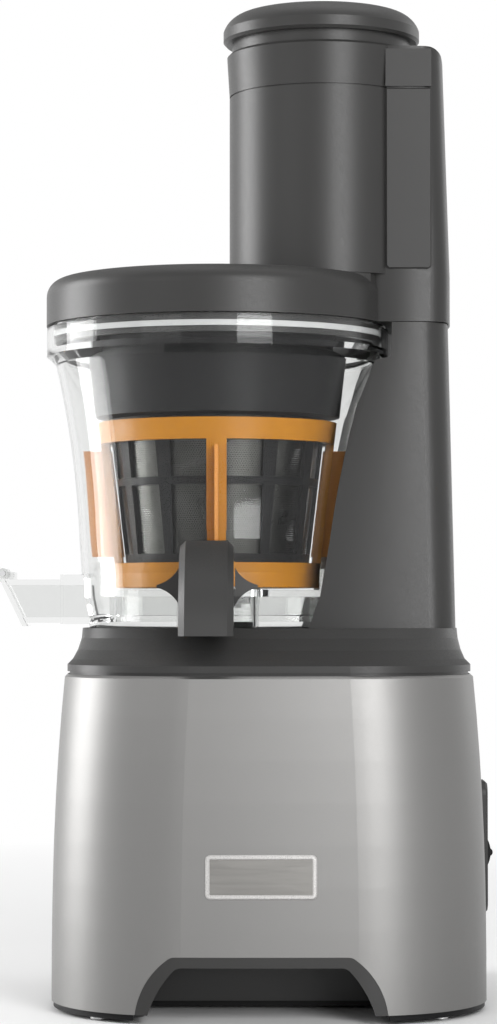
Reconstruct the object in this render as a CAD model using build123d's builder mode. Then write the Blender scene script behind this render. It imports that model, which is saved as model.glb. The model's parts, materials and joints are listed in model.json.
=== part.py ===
from build123d import *
from math import acos, atan2, cos, degrees, pi, radians, sin, sqrt, tan
import os

# Upright cold press juicer: a motor base with an arm, a clear bowl that stands on it, a lid with
# a wide feed tube and tower, and a pusher.  Millimetres.
# Origin: on the scroll's axis, at the standing surface.  +X towards the arm, +Y to the back, +Z up.

# ---------------------------------------------------------------- levels above the table
plate_bottom = 1.5
housing_bottom = 4.0
housing_top = 146.0
seat_level = 166.0
arm_top = 302.0
rim_top = 302.0
lid_top = 323.5
seam_level = 407.2
tube_top = 426.5

# ---------------------------------------------------------------- motor base
base_x = 23.0
base_width = 192.0
base_depth = 200.0
base_corner = 60.0
base_bow = 4.0
base_draw_width = 11.0
base_draw_depth = 11.5
base_top_width = base_width - base_draw_width
base_top_depth = base_depth - base_draw_depth
base_wall = 3.0
base_taper = 2.5
base_steps = 8
arch_x = 19.4
arch_half_foot = 53.5
arch_half_top = 38.0
arch_height = 28.5
arch_depth = 51.0
arch_band = 4.5
foot_radius = 9.0
foot_inset = 33.5
foot_stem_radius = 3.4
screw_radius = 2.0
boss_inset = 23.2
board_inset = 13.0
board_width = 40.0
post_radius = 6.0
flat_gap = 0.05

# ---------------------------------------------------------------- switch and cord entry
switch_level = 65.0
switch_depth = 8.5
rocker_radius = 12.6
rocker_half = 6.3
rocker_gap = 0.6
bezel_height = 2.4
bezel_low = 38.0
bezel_high = 97.0
bezel_half = 12.5
gland_x = 53.0
gland_level = 26.0
gland_bore = 3.5
gland_flange = 9.0
gland_neck = 6.0

# ---------------------------------------------------------------- deck and arm
lip_inset_width = 2.0
lip_inset_depth = 2.2
deck_lip_width = base_top_width - lip_inset_width
deck_lip_depth = base_top_depth - lip_inset_depth
deck_lip_height = 3.0
deck_groove_height = 1.2
deck_groove_inset = 1.0
deck_wall = 3.0
skirt_depth = 5.0
seat_left = -60.5
seat_half_depth = 64.0
arm_right_foot = 107.4
arm_right_top = 104.4
arm_left_foot = 20.0
arm_left_top = 62.0
arm_half_foot = 46.0
arm_half_top = 32.0
arm_corner_foot = 14.0
arm_corner_top = 14.0
arm_bow = 3.0
rim_room = 6.5
arm_wall = 3.0
arm_split_y = 9.0
boss_radius = 16.0
boss_height = 3.0

# ---------------------------------------------------------------- drive line
shaft_radius = 6.0
hex_flats = 10.2
hex_gap = 0.1
hex_tip_level = 201.0
gear_angle = 25.0
backlash_share = 0.2
scroll_teeth = 14
idler_teeth = 13
ring_teeth = 40
wiper_module = 2.0
idler_direction = 60.0
output_teeth = 38
second_pinion_teeth = 11
second_module = 2.0
first_wheel_teeth = 36
motor_pinion_teeth = 10
first_module = 1.5
layshaft_direction = 20.0
motor_direction = 140.0
gearcase_floor = 96.0
gearcase_seam = 115.0
gearcase_roof = 133.0
gearcase_wall = 3.0
gearcase_room = 3.0
first_gear_level = 103.0
first_gear_width = 8.0
second_gear_level = 117.5
second_gear_width = 10.0
layshaft_radius = 4.0
rotor_shaft_radius = 4.0
motor_radius = 32.0
motor_bottom = 30.0
running_gap = 0.05

# ---------------------------------------------------------------- bowl
bowl_wall = 3.0
bowl_foot_radius = 58.0
bowl_heel_radius = 60.9
bowl_heel_level = 180.0
bowl_waist_radius = 62.6
bowl_waist_level = 205.0
bowl_shoulder_radius = 73.4
bowl_shoulder_level = 285.0
rim_radius = 77.5
rim_inner_radius = 74.5
rim_bottom = 288.5
plateau_level = 183.0
plateau_radius = 49.0
gutter_level = 172.0
floor_wall = 3.0
bowl_clearance = 1.5
hub_radius = 8.8
hub_bore = 6.6
hub_top = 187.0
hub_gap = 0.6
seal_radius = 8.5
spout_width = 22.0
spout_height = 19.5
spout_middle = 178.0
spout_wall = 2.5
spout_top_end = -95.5
spout_bottom_end = -86.0
cap_thickness = 2.2
cap_gap = 0.3
cap_pin_radius = 1.2
duct_x = -4.0
duct_half_width = 8.5
duct_wall = 2.5
duct_floor = 169.5
duct_ceiling = 180.5
duct_end = -62.0
pulp_port_half = 7.5
pulp_port_near = 22.0
pulp_port_room = 0.48
pulp_port_edge = 2.0
chute_half = 11.6
chute_front = -106.0
chute_mouth = 163.0
riser_half = 12.2
riser_top = 208.5

# ---------------------------------------------------------------- strainer, wiper, scroll
strainer_floor = 191.5
strainer_floor_wall = 2.5
strainer_foot_radius = 41.0
strainer_top_radius = 49.0
strainer_cone_top = 259.5
strainer_wall = 2.5
mesh_wall = 0.6
collar_bottom_radius = 55.5
collar_top_radius = 59.0
collar_top = 293.0
wiper_gap = 1.5
wiper_wall = 3.8
wiper_bottom = 184.0
wiper_gear_top = 190.5
wiper_low_ring_top = 195.0
wiper_high_ring = 249.0
wiper_top = 258.5
wiper_post_width = 8.7
blade_wall = 1.6
blade_wall_gap = 1.5
blade_mesh_gap = 0.5
scroll_neck_radius = 16.0
scroll_pin_radius = 5.0
scroll_pin_top = 311.0
flight_wall = 5.0
flight_pitch = 62.0
flight_gap = 0.6

# ---------------------------------------------------------------- lid, tower, pusher
lid_radius = 77.7
lid_edge_radius = 8.0
lid_wall = 3.0
lid_seam_gap = 0.3
plug_radius = 73.6
plug_bottom = 294.0
tube_x = 47.2
tube_radius = 41.8
tube_bore = 39.0
tower_left = 62.0
tower_right = 105.3
tower_right_top = 102.0
tower_half = 32.0
tower_corner = 11.0
tower_round = 8.5
tower_wall = 3.0
rim_flare = 1.1
seam_gap = 0.7
seam_groove = 0.6
throat_radius = 50.5
slope_foot_x = 52.0
slope_top_level = 362.0
plunger_gap = 0.8
plunger_wall = 2.5
plunger_bottom = 334.0
head_overhang = 5.6
collar_height = 5.0
collar_reach = 1.6
head_height = 16.8


def bowed_rectangle(width, depth, corner, bow):
    """A rectangle with rounded corners whose four sides bow out to width and depth."""
    half_width = width / 2
    half_depth = depth / 2
    corners = [
        (-half_width + bow, -half_depth + bow),
        (half_width - bow, -half_depth + bow),
        (half_width - bow, half_depth - bow),
        (-half_width + bow, half_depth - bow),
    ]
    middles = [(0, -half_depth), (half_width, 0), (0, half_depth), (-half_width, 0)]
    with BuildSketch() as outline:
        with BuildLine():
            for i in range(4):
                ThreePointArc(corners[i], middles[i], corners[(i + 1) % 4])
        make_face()
        fillet(outline.vertices(), corner)
    return outline.sketch


def block(left, right, front, back, bottom, top, mode=Mode.ADD):
    """A box given by its six sides, made in the part that is being built."""
    with Locations(((left + right) / 2, (front + back) / 2, bottom)):
        Box(
            right - left,
            back - front,
            top - bottom,
            align=(Align.CENTER, Align.CENTER, Align.MIN),
            mode=mode,
        )


def disc(x, y, radius, bottom, top, mode=Mode.ADD):
    """An upright cylinder between two levels, made in the part that is being built."""
    with Locations((x, y, bottom)):
        Cylinder(
            radius,
            top - bottom,
            align=(Align.CENTER, Align.CENTER, Align.MIN),
            mode=mode,
        )


def turned(points, mode=Mode.ADD, axis_x=0.0, axis_y=0.0):
    """A solid turned about an upright axis from a closed outline of (radius, level) points."""
    with BuildSketch(Plane((axis_x, axis_y, 0), x_dir=(1, 0, 0), z_dir=(0, -1, 0))) as outline:
        with BuildLine():
            Polyline(*points, close=True)
        make_face()
    revolve(outline.sketch, axis=Axis((axis_x, axis_y, 0), (0, 0, 1)), mode=mode)


def four_corners(inset):
    """The four points under the base that lie an inset in from its sides."""
    half_x = base_width / 2 - inset
    half_y = base_depth / 2 - inset
    return [(base_x + i * half_x, j * half_y) for i in (-1, 1) for j in (-1, 1)]


def save(part, name):
    """Labels a finished piece and writes its STEP file."""
    part.label = name
    export_step(part, f"parts/{name}.step")


os.makedirs("parts", exist_ok=True)


# ================================================================ forms used by several pieces
def lofted(sections):
    """A solid through bowed rectangles: (level, middle x, width, depth, corner) each."""
    with BuildPart() as form:
        for level, middle, width, depth, corner in sections:
            with BuildSketch(Plane((middle, 0, level))):
                add(bowed_rectangle(width, depth, corner, base_bow))
        loft(ruled=True)
    return form.part


def arch_passage(inset, back, front):
    """The arch's passage from one depth to another, its outline drawn in by an inset."""
    foot = arch_half_foot - inset
    top = arch_half_top - inset / 2
    height = arch_height - inset
    with BuildPart() as passage:
        with BuildSketch(Plane((arch_x, back, 0), x_dir=(1, 0, 0), z_dir=(0, -1, 0))) as outline:
            with BuildLine():
                left = ThreePointArc((-top, height), (-foot + 5.5, height - 10), (-foot, -1))
                right = ThreePointArc((foot, -1), (foot - 5.5, height - 10), (top, height))
                Line(left @ 1, right @ 0)
                Line(right @ 1, left @ 0)
            make_face()
            fillet(outline.vertices().group_by(Axis.Y)[-1], 5)
        extrude(amount=back - front)
    return passage.part


def bowl_space(grow, top_radius, high):
    """The space inside the bowl's outer surface, grown by an amount, from its seat up to a level."""
    with BuildPart() as space:
        with BuildSketch(Plane.XZ):
            with BuildLine():
                foot = Polyline(
                    (bowl_foot_radius + grow, seat_level),
                    (bowl_heel_radius + grow, bowl_heel_level),
                    (bowl_waist_radius + grow, bowl_waist_level),
                )
                wall = ThreePointArc(
                    foot @ 1,
                    (66.2 + grow, 246.0),
                    (bowl_shoulder_radius + grow, bowl_shoulder_level),
                )
                Polyline(
                    wall @ 1,
                    (top_radius, rim_bottom - grow),
                    (top_radius, high),
                    (0, high),
                    (0, seat_level),
                    foot @ 0,
                )
            make_face()
        revolve(axis=Axis.Z)
    return space.part


def gear_points(teeth, module, addendum, dedendum, phase):
    """Outline of a spur gear: straight-sided approximations of involute teeth, with backlash."""
    pitch_radius = teeth * module / 2
    base_radius = pitch_radius * cos(radians(gear_angle))
    half_tooth = pi / (2 * teeth) - backlash_share * module / (2 * pitch_radius)
    outer = pitch_radius + addendum * module
    root = pitch_radius - dedendum * module

    def half_angle(radius):
        at_pitch = acos(base_radius / pitch_radius)
        at_radius = acos(min(1.0, base_radius / radius))
        return half_tooth + (tan(at_pitch) - at_pitch) - (tan(at_radius) - at_radius)

    start = max(root, base_radius)
    radii = [start, (start + pitch_radius) / 2, pitch_radius, (pitch_radius + outer) / 2, outer]
    flank = [(radius, half_angle(radius)) for radius in radii]
    if root < base_radius:
        flank = [(root, half_angle(start))] + flank
    points = []
    for i in range(teeth):
        middle = radians(phase) + 2 * pi * i / teeth
        for radius, angle in flank:
            points.append((radius * cos(middle - angle), radius * sin(middle - angle)))
        for radius, angle in reversed(flank):
            points.append((radius * cos(middle + angle), radius * sin(middle + angle)))
    return points


def gear(x, y, level, width, points, mode=Mode.ADD):
    """An upright gear blank cut to an outline, placed on its own axis."""
    with BuildSketch(Plane((x, y, level))) as outline:
        with BuildLine():
            Polyline(*points, close=True)
        make_face()
    extrude(outline.sketch, amount=width, mode=mode)


def meshed_phase(teeth, phase, direction, other_teeth):
    """Phase in degrees of a gear that meshes outside another lying in a direction from it."""
    share = 0.5 - teeth * (direction - phase) / 360
    return direction + 180 - share * 360 / other_teeth


def ring_phase(teeth, phase, direction, ring):
    """Phase in degrees of an internal ring's tooth spaces that mesh with a gear inside it."""
    share = teeth * (direction - phase) / 360
    return direction - share * 360 / ring


def polar(x, y, distance, direction):
    """The point at a distance in a direction, in degrees, from another."""
    return (x + distance * cos(radians(direction)), y + distance * sin(radians(direction)))


ring_inner_radius = wiper_module * (ring_teeth / 2 - 1)
port_corner_x = pulp_port_half + pulp_port_edge - duct_x
port_corner_radius = ring_inner_radius - pulp_port_room
pulp_port_far = sqrt(port_corner_radius**2 - port_corner_x**2) - pulp_port_edge
idler_distance = wiper_module * (scroll_teeth + idler_teeth) / 2
idler_x, idler_y = polar(0, 0, idler_distance, idler_direction)
layshaft_distance = second_module * (output_teeth + second_pinion_teeth) / 2
layshaft_x, layshaft_y = polar(0, 0, layshaft_distance, layshaft_direction)
motor_distance = first_module * (first_wheel_teeth + motor_pinion_teeth) / 2
motor_x, motor_y = polar(layshaft_x, layshaft_y, motor_distance, motor_direction)

scroll_gear = gear_points(scroll_teeth, wiper_module, 1.0, 1.25, 0)
idler_phase = meshed_phase(scroll_teeth, 0, idler_direction, idler_teeth)
idler_outline = gear_points(idler_teeth, wiper_module, 1.0, 1.25, idler_phase)
ring_spaces_phase = ring_phase(idler_teeth, idler_phase, idler_direction, ring_teeth)
output_outline = gear_points(output_teeth, second_module, 1.0, 1.25, 0)
second_phase = meshed_phase(output_teeth, 0, layshaft_direction, second_pinion_teeth)
second_outline = gear_points(second_pinion_teeth, second_module, 1.0, 1.25, second_phase)
first_outline = gear_points(first_wheel_teeth, first_module, 1.0, 1.25, 0)
motor_phase = meshed_phase(first_wheel_teeth, 0, motor_direction, motor_pinion_teeth)
motor_outline = gear_points(motor_pinion_teeth, first_module, 1.0, 1.25, motor_phase)


def ring_points():
    """Outline of the wiper ring's tooth spaces: a gear's outline widened by the backlash."""
    pitch_radius = ring_teeth * wiper_module / 2
    base_radius = pitch_radius * cos(radians(gear_angle))
    half_space = pi / (2 * ring_teeth) + backlash_share * wiper_module / (2 * pitch_radius)
    points = []
    for i in range(ring_teeth):
        middle = radians(ring_spaces_phase) + 2 * pi * i / ring_teeth
        flank = []
        for radius in (pitch_radius - wiper_module, pitch_radius, pitch_radius + 1.25 * wiper_module):
            at_pitch = acos(base_radius / pitch_radius)
            at_radius = acos(base_radius / radius)
            angle = half_space + (tan(at_pitch) - at_pitch) - (tan(at_radius) - at_radius)
            flank.append((radius, angle))
        for radius, angle in flank:
            points.append((radius * cos(middle - angle), radius * sin(middle - angle)))
        for radius, angle in reversed(flank):
            points.append((radius * cos(middle + angle), radius * sin(middle + angle)))
    return points


base_sections = []
for i in range(base_steps + 1):
    share = i / base_steps
    draw_in = share**base_taper
    base_sections.append(
        (
            housing_bottom + (housing_top - housing_bottom) * share,
            base_x,
            base_width - (base_width - base_top_width) * draw_in,
            base_depth - (base_depth - base_top_depth) * draw_in,
            base_corner - 2 * draw_in,
        )
    )
switch_x = base_x + base_width / 2 - switch_depth
base_form = lofted(base_sections)
base_room = lofted(
    [
        (level, middle, width - 2 * base_wall, depth - 2 * base_wall, corner - base_wall)
        for level, middle, width, depth, corner in base_sections
    ]
)

# ================================================================ motor base
with BuildPart() as base_housing:
    add(base_form)
    chamfer(base_housing.edges().group_by(Axis.Z)[-1], 1.2)
    add(base_room, mode=Mode.SUBTRACT)
    for x, y in four_corners(boss_inset):
        disc(x, y, 5.5, housing_bottom, 40)
        disc(x, y, screw_radius, 0, 22, Mode.SUBTRACT)
    add(arch_passage(0, -base_depth / 2 + arch_depth, -base_depth / 2 - 10), mode=Mode.SUBTRACT)
    block(
        switch_x - 14, switch_x + 16, -9.7, 9.7, switch_level - 14.2, switch_level + 14.2, Mode.SUBTRACT
    )
    with Locations(Plane((gland_x, base_depth / 2 - 20, gland_level), z_dir=(0, 1, 0))):
        Cylinder(
            gland_neck, 40, align=(Align.CENTER, Align.CENTER, Align.MIN), mode=Mode.SUBTRACT
        )
save(base_housing.part, "base_housing")

with BuildPart() as arch_liner:
    add(arch_passage(flat_gap, -base_depth / 2 + arch_depth + 2.5, -base_depth / 2 - 10))
    add(arch_passage(arch_band, -base_depth / 2 + arch_depth, -base_depth / 2 - 11), mode=Mode.SUBTRACT)
    add(base_form, mode=Mode.INTERSECT)
save(arch_liner.part, "arch_liner")

foot_spots = four_corners(foot_inset) + [(0, 0)]
board_left = base_x - base_width / 2 + board_inset
board_right = board_left + board_width
post_spots = [(-46.0, -20.0), (-34.0, 38.0), (72.0, -22.0), (66.0, 56.0)]

with BuildPart() as base_plate:
    with BuildSketch(Plane((base_x, 0, plate_bottom))):
        add(bowed_rectangle(base_width - 1.6, base_depth - 1.6, base_corner, base_bow))
    extrude(amount=housing_bottom - plate_bottom)
    with BuildSketch(Plane((base_x, 0, housing_bottom))):
        add(bowed_rectangle(base_width - 7, base_depth - 7, base_corner - 4, base_bow))
        add(
            bowed_rectangle(base_width - 12, base_depth - 12, base_corner - 6, base_bow),
            mode=Mode.SUBTRACT,
        )
    extrude(amount=3)
    for x, y in four_corners(boss_inset):
        disc(x, y, 6.5, housing_bottom, 9, Mode.SUBTRACT)
        disc(x, y, screw_radius + 0.2, 0, 9, Mode.SUBTRACT)
    for x, y in foot_spots:
        disc(x, y, foot_stem_radius, 0, 9, Mode.SUBTRACT)
    for x, y in post_spots:
        disc(x, y, post_radius, housing_bottom, gearcase_floor - 4)
        disc(x, y, screw_radius, 60, gearcase_floor, Mode.SUBTRACT)
    for i in range(7):
        slot_y = motor_y - 25 + 8 * i
        block(motor_x - 24, motor_x + 24, slot_y, slot_y + 3, 0, 5, Mode.SUBTRACT)
    add(arch_passage(-0.4, -base_depth / 2 + arch_depth + 2.6, -base_depth / 2 - 11), mode=Mode.SUBTRACT)
    block(board_left - 2, board_left + 2, 59, 63.6, housing_bottom, 24)
    block(board_right - 2, board_right + 2, 59, 63.6, housing_bottom, 24)
    block(board_left, board_right, 60.5, 62.1, housing_bottom + 2, 30, Mode.SUBTRACT)
save(base_plate.part, "base_plate")

with BuildPart() as control_board:
    block(board_left, board_right, 60.5, 62.1, housing_bottom + 2, 72)
    block(board_left + 8, board_left + 22, 50.5, 60.5, 40, 62)
    block(board_left + 26, board_left + 34, 54.5, 60.5, 36, 52)
    with Locations(Plane((board_left + 30, 62.1, 60), z_dir=(0, 1, 0))):
        Cylinder(5, 14, align=(Align.CENTER, Align.CENTER, Align.MIN))
save(control_board.part, "control_board")

with BuildPart() as feet:
    for x, y in foot_spots:
        disc(x, y, foot_radius, 0, plate_bottom)
        disc(x, y, foot_stem_radius, plate_bottom, housing_bottom + 0.1)
        disc(x, y, foot_stem_radius + 0.8, housing_bottom + 0.1, housing_bottom + 2)
save(feet.part, "feet")

with BuildPart() as housing_screws:
    for x, y in four_corners(boss_inset):
        disc(x, y, screw_radius, plate_bottom, 20)
        disc(x, y, screw_radius + 1.6, plate_bottom - 1.3, plate_bottom)
save(housing_screws.part, "housing_screws")

# ---------------------------------------------------------------- switch and cord gland
bezel_face = base_x + base_width / 2 + bezel_height
with BuildPart() as switch_bezel:
    with BuildSketch(Plane((switch_x, 0, 0), x_dir=(0, 1, 0), z_dir=(1, 0, 0))):
        with Locations((0, (bezel_low + bezel_high) / 2)):
            RectangleRounded(2 * bezel_half, bezel_high - bezel_low, 6)
    extrude(amount=bezel_face - switch_x)
    chamfer(switch_bezel.faces().sort_by(Axis.X)[-1].edges(), 1.0)
    with Locations((bezel_face, 0, 45)):
        Cylinder(3.4, 1.2, rotation=(0, 90, 0))
    add(base_form, mode=Mode.SUBTRACT)
    window = rocker_radius - 1.2
    window_half = rocker_half + 0.5
    block(
        switch_x - 14,
        switch_x + 26,
        -window_half,
        window_half,
        switch_level - window,
        switch_level + window,
        Mode.SUBTRACT,
    )
save(switch_bezel.part, "switch_bezel")

with BuildPart() as switch_body:
    block(switch_x - 14, switch_x + 5.6, -9.5, 9.5, switch_level - 14, switch_level + 14)
    with Locations((switch_x, 0, switch_level)):
        Cylinder(
            rocker_radius + rocker_gap,
            2 * rocker_half + 0.8,
            rotation=(90, 0, 0),
            mode=Mode.SUBTRACT,
        )
        Cylinder(1.5 + running_gap, 18, rotation=(90, 0, 0), mode=Mode.SUBTRACT)
save(switch_body.part, "switch_body")

with BuildPart() as switch_rocker:
    with Locations((switch_x, 0, switch_level)):
        Cylinder(rocker_radius, 2 * rocker_half, rotation=(90, 0, 0))
        Cylinder(1.5, 2 * rocker_half + 4, rotation=(90, 0, 0))
    block(switch_x - 24, switch_x - 2.5, -20, 20, 40, 90, Mode.SUBTRACT)
    with Locations((switch_x + rocker_radius - 1, 0, switch_level)):
        Cylinder(1.9, 2 * rocker_half, rotation=(90, 0, 0))
save(switch_rocker.part, "switch_rocker")

gland_face = base_depth / 2 + 1.6
gland_inside = base_depth / 2 - 12
with BuildPart() as cord_gland:
    with Locations(Plane((gland_x, gland_inside, gland_level), z_dir=(0, 1, 0))):
        Cylinder(
            gland_flange, gland_face - gland_inside, align=(Align.CENTER, Align.CENTER, Align.MIN)
        )
    chamfer(cord_gland.edges().group_by(Axis.Y)[-1], 0.8)
    add(base_form, mode=Mode.SUBTRACT)
    with Locations(Plane((gland_x, gland_inside, gland_level), z_dir=(0, 1, 0))):
        Cylinder(
            gland_neck - flat_gap,
            gland_face - gland_inside - 1,
            align=(Align.CENTER, Align.CENTER, Align.MIN),
        )
        Cylinder(
            gland_bore, 40, align=(Align.CENTER, Align.CENTER, Align.MIN), mode=Mode.SUBTRACT
        )
save(cord_gland.part, "cord_gland")

with BuildPart() as gland_nut:
    with BuildSketch(Plane((gland_x, gland_inside + 2, gland_level), z_dir=(0, 1, 0))):
        RegularPolygon(9.5, 6)
        Circle(gland_neck, mode=Mode.SUBTRACT)
    extrude(amount=5)
save(gland_nut.part, "gland_nut")

# ================================================================ deck, arm and its rear cover
seat_width = arm_right_foot - seat_left
seat_middle = (arm_right_foot + seat_left) / 2
lip_bottom = housing_top + deck_groove_height
lip_top = lip_bottom + deck_lip_height
deck_sections = [
    (lip_top, base_x, deck_lip_width, deck_lip_depth, base_corner - 3),
    (lip_top + 2.4, base_x, deck_lip_width - 4.5, 2 * 86.5, 54),
    (lip_top + 6.4, (seat_middle + base_x) / 2, deck_lip_width - 8, 2 * 77.0, 49),
    (lip_top + 11.5, seat_middle, (deck_lip_width - 10 + seat_width) / 2, 2 * 69.0, 45),
    (seat_level, seat_middle, seat_width, 2 * seat_half_depth, 42),
]
arm_foot_level = lip_top + 6


def arm_form(inset, top):
    """The arm's outer form drawn in by an inset and cleared of the bowl."""
    foot_middle = (arm_left_foot + arm_right_foot) / 2
    foot_width = arm_right_foot - arm_left_foot
    top_middle = (arm_left_top + arm_right_top) / 2
    top_width = arm_right_top - arm_left_top
    with BuildPart() as form:
        with BuildSketch(Plane((foot_middle, 0, arm_foot_level))):
            half = arm_half_foot - inset
            add(bowed_rectangle(foot_width - 2 * inset, 2 * half, arm_corner_foot - inset, arm_bow))
        with BuildSketch(Plane((top_middle, 0, arm_top))):
            half = arm_half_top - inset
            add(bowed_rectangle(top_width - 2 * inset, 2 * half, arm_corner_top - inset, arm_bow))
        loft()
        if top < arm_top:
            block(0, 130, -60, 60, top, arm_top + 1, Mode.SUBTRACT)
        clearance = bowl_clearance + inset
        ledge = rim_bottom - clearance - 2
        add(bowl_space(clearance, rim_radius + clearance, arm_top + 1), mode=Mode.SUBTRACT)
        turned(
            [
                (0, bowl_shoulder_level - 22),
                (bowl_shoulder_radius - 4.5 + clearance, bowl_shoulder_level - 22),
                (rim_radius - 1.5 + clearance, ledge),
                (rim_radius + rim_room + inset, ledge + 1.5),
                (rim_radius + rim_room + inset, arm_top + 1),
                (0, arm_top + 1),
            ],
            Mode.SUBTRACT,
        )
        block(0, 75, -60, 60, arm_foot_level - 1, seat_level, Mode.SUBTRACT)
    return form.part


deck_form = lofted(deck_sections)
deck_room = lofted(
    [
        (level - deck_wall, middle, width - 2 * deck_wall, depth - 2 * deck_wall, corner - deck_wall)
        for level, middle, width, depth, corner in deck_sections
    ]
)
arm_outside = arm_form(0, arm_top)
arm_inside = arm_form(arm_wall, arm_top - arm_wall)
neck_width = deck_lip_width - 2 * deck_groove_inset
neck_depth = deck_lip_depth - 2 * deck_groove_inset
skirt_width = base_top_width - 2 * base_wall - 0.6
skirt_depth_y = base_top_depth - 2 * base_wall - 0.6

with BuildPart() as deck_cover:
    add(deck_form)
    with BuildSketch(Plane((base_x, 0, lip_bottom))):
        add(bowed_rectangle(deck_lip_width, deck_lip_depth, base_corner - 3, base_bow))
    extrude(amount=deck_lip_height)
    with BuildSketch(Plane((base_x, 0, housing_top))):
        add(bowed_rectangle(neck_width, neck_depth, base_corner - 4, base_bow))
    extrude(amount=deck_groove_height)
    with BuildSketch(Plane((base_x, 0, housing_top - skirt_depth))):
        add(bowed_rectangle(skirt_width, skirt_depth_y, base_corner - 5, base_bow))
    extrude(amount=skirt_depth)
    add(deck_room, mode=Mode.SUBTRACT)
    with BuildSketch(Plane((base_x, 0, housing_top - skirt_depth))):
        add(bowed_rectangle(skirt_width - 5, skirt_depth_y - 5, base_corner - 8, base_bow))
    extrude(amount=lip_top - deck_wall - housing_top + skirt_depth, mode=Mode.SUBTRACT)
    add(arm_outside)
    add(arm_inside, mode=Mode.SUBTRACT)
    block(78, 104, -30, 30, seat_level - 8, seat_level + 8, Mode.SUBTRACT)
    block(0, 130, arm_split_y, 60, seat_level, arm_top + 1, Mode.SUBTRACT)
    disc(0, 0, boss_radius, seat_level - deck_wall, seat_level + boss_height)
    disc(0, 0, boss_radius - 3, gearcase_roof + 8, seat_level - deck_wall)
    disc(0, 0, 11, gearcase_roof + 8, seat_level + boss_height - 6.5, Mode.SUBTRACT)
    disc(0, 0, shaft_radius + 0.8, gearcase_roof, seat_level + 10, Mode.SUBTRACT)
    disc(0, 0, 9.5, seat_level + boss_height - 4, seat_level + boss_height, Mode.SUBTRACT)
save(deck_cover.part, "deck_cover")

with BuildPart() as arm_rear_cover:
    add(arm_outside)
    add(arm_inside, mode=Mode.SUBTRACT)
    block(0, 130, -60, arm_split_y, arm_foot_level - 1, arm_top + 1, Mode.SUBTRACT)
    block(0, 130, -60, 60, arm_foot_level - 1, seat_level, Mode.SUBTRACT)
save(arm_rear_cover.part, "arm_rear_cover")

with BuildPart() as shaft_seal:
    disc(0, 0, 9.5, seat_level + boss_height - 4, seat_level + boss_height - 0.5)
    disc(0, 0, shaft_radius + running_gap, 100, 200, Mode.SUBTRACT)
save(shaft_seal.part, "shaft_seal")

sensor_x = arm_right_top - arm_wall - 6.8
with BuildPart() as reed_sensor:
    block(sensor_x - 6, sensor_x + 6, -3, 3, arm_top - arm_wall - 4, arm_top - arm_wall)
save(reed_sensor.part, "reed_sensor")

# ================================================================ gearcase and drive line
case_circles = [
    (0.0, 0.0, output_teeth * second_module / 2 + second_module),
    (layshaft_x, layshaft_y, first_wheel_teeth * first_module / 2 + first_module),
    (motor_x, motor_y, 15.0),
]


def case_half(bottom, top, hollow_bottom, hollow_top):
    """One half of the gearcase between two levels, with the room for the gears hollowed out."""
    with BuildPart() as half:
        for x, y, radius in case_circles:
            disc(x, y, radius + gearcase_room + gearcase_wall, bottom, top)
        for x, y in case_screws:
            disc(x, y, 5, bottom, top)
        for x, y, radius in case_circles:
            disc(x, y, radius + gearcase_room, hollow_bottom, hollow_top, Mode.SUBTRACT)
        for x, y in case_screws:
            disc(x, y, screw_radius, bottom - 1, top + 1, Mode.SUBTRACT)
    return half.part


case_screws = []
screw_reach = gearcase_room + gearcase_wall + 2.5
for direction in (100, 170, 235, 300):
    case_screws.append(polar(0, 0, case_circles[0][2] + screw_reach, direction))
for direction in (-28, 20, 97):
    case_screws.append(polar(layshaft_x, layshaft_y, case_circles[1][2] + screw_reach, direction))

with BuildPart() as gearcase_lower:
    add(case_half(gearcase_floor, gearcase_seam, gearcase_floor + gearcase_wall, gearcase_seam))
    for x, y in post_spots:
        centre = case_circles[0 if x < 0 else 1]
        reach = sqrt((x - centre[0]) ** 2 + (y - centre[1]) ** 2)
        length = reach - centre[2]
        share = 1 - length / 2 / reach
        middle = (centre[0] + (x - centre[0]) * share, centre[1] + (y - centre[1]) * share)
        disc(x, y, 7, gearcase_floor, gearcase_floor + 4)
        with BuildSketch(Plane((middle[0], middle[1], gearcase_floor))):
            Rectangle(length, 10, rotation=degrees(atan2(y - centre[1], x - centre[0])))
        extrude(amount=gearcase_wall)
        disc(x, y, screw_radius, gearcase_floor - 1, gearcase_floor + 4, Mode.SUBTRACT)
    for x, y, radius in case_circles:
        room = radius + gearcase_room
        disc(x, y, room, gearcase_floor + gearcase_wall, gearcase_seam, Mode.SUBTRACT)
    disc(0, 0, 13, gearcase_floor, gearcase_floor + 9)
    disc(0, 0, 10, gearcase_floor + 2, gearcase_floor + 9, Mode.SUBTRACT)
    disc(layshaft_x, layshaft_y, layshaft_radius, gearcase_floor + 1, gearcase_floor + 6, Mode.SUBTRACT)
    disc(motor_x, motor_y, 9, gearcase_floor - 1, gearcase_floor + 6, Mode.SUBTRACT)
save(gearcase_lower.part, "gearcase_lower")

with BuildPart() as gearcase_upper:
    add(case_half(gearcase_seam, gearcase_roof, gearcase_seam, gearcase_roof - gearcase_wall))
    disc(0, 0, 14, gearcase_roof - gearcase_wall, gearcase_roof + 6)
    disc(0, 0, 10, gearcase_roof - 4, gearcase_roof + 4, Mode.SUBTRACT)
    disc(0, 0, shaft_radius + 1, 100, 150, Mode.SUBTRACT)
    disc(layshaft_x, layshaft_y, 6, gearcase_roof - gearcase_wall - 1, gearcase_roof)
    disc(layshaft_x, layshaft_y, layshaft_radius, 100, gearcase_roof - 1.5, Mode.SUBTRACT)
save(gearcase_upper.part, "gearcase_upper")

with BuildPart() as gearcase_screws:
    for x, y in case_screws:
        disc(x, y, screw_radius, gearcase_floor, gearcase_roof)
        disc(x, y, screw_radius + 1.6, gearcase_roof, gearcase_roof + 2)
save(gearcase_screws.part, "gearcase_screws")

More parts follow.
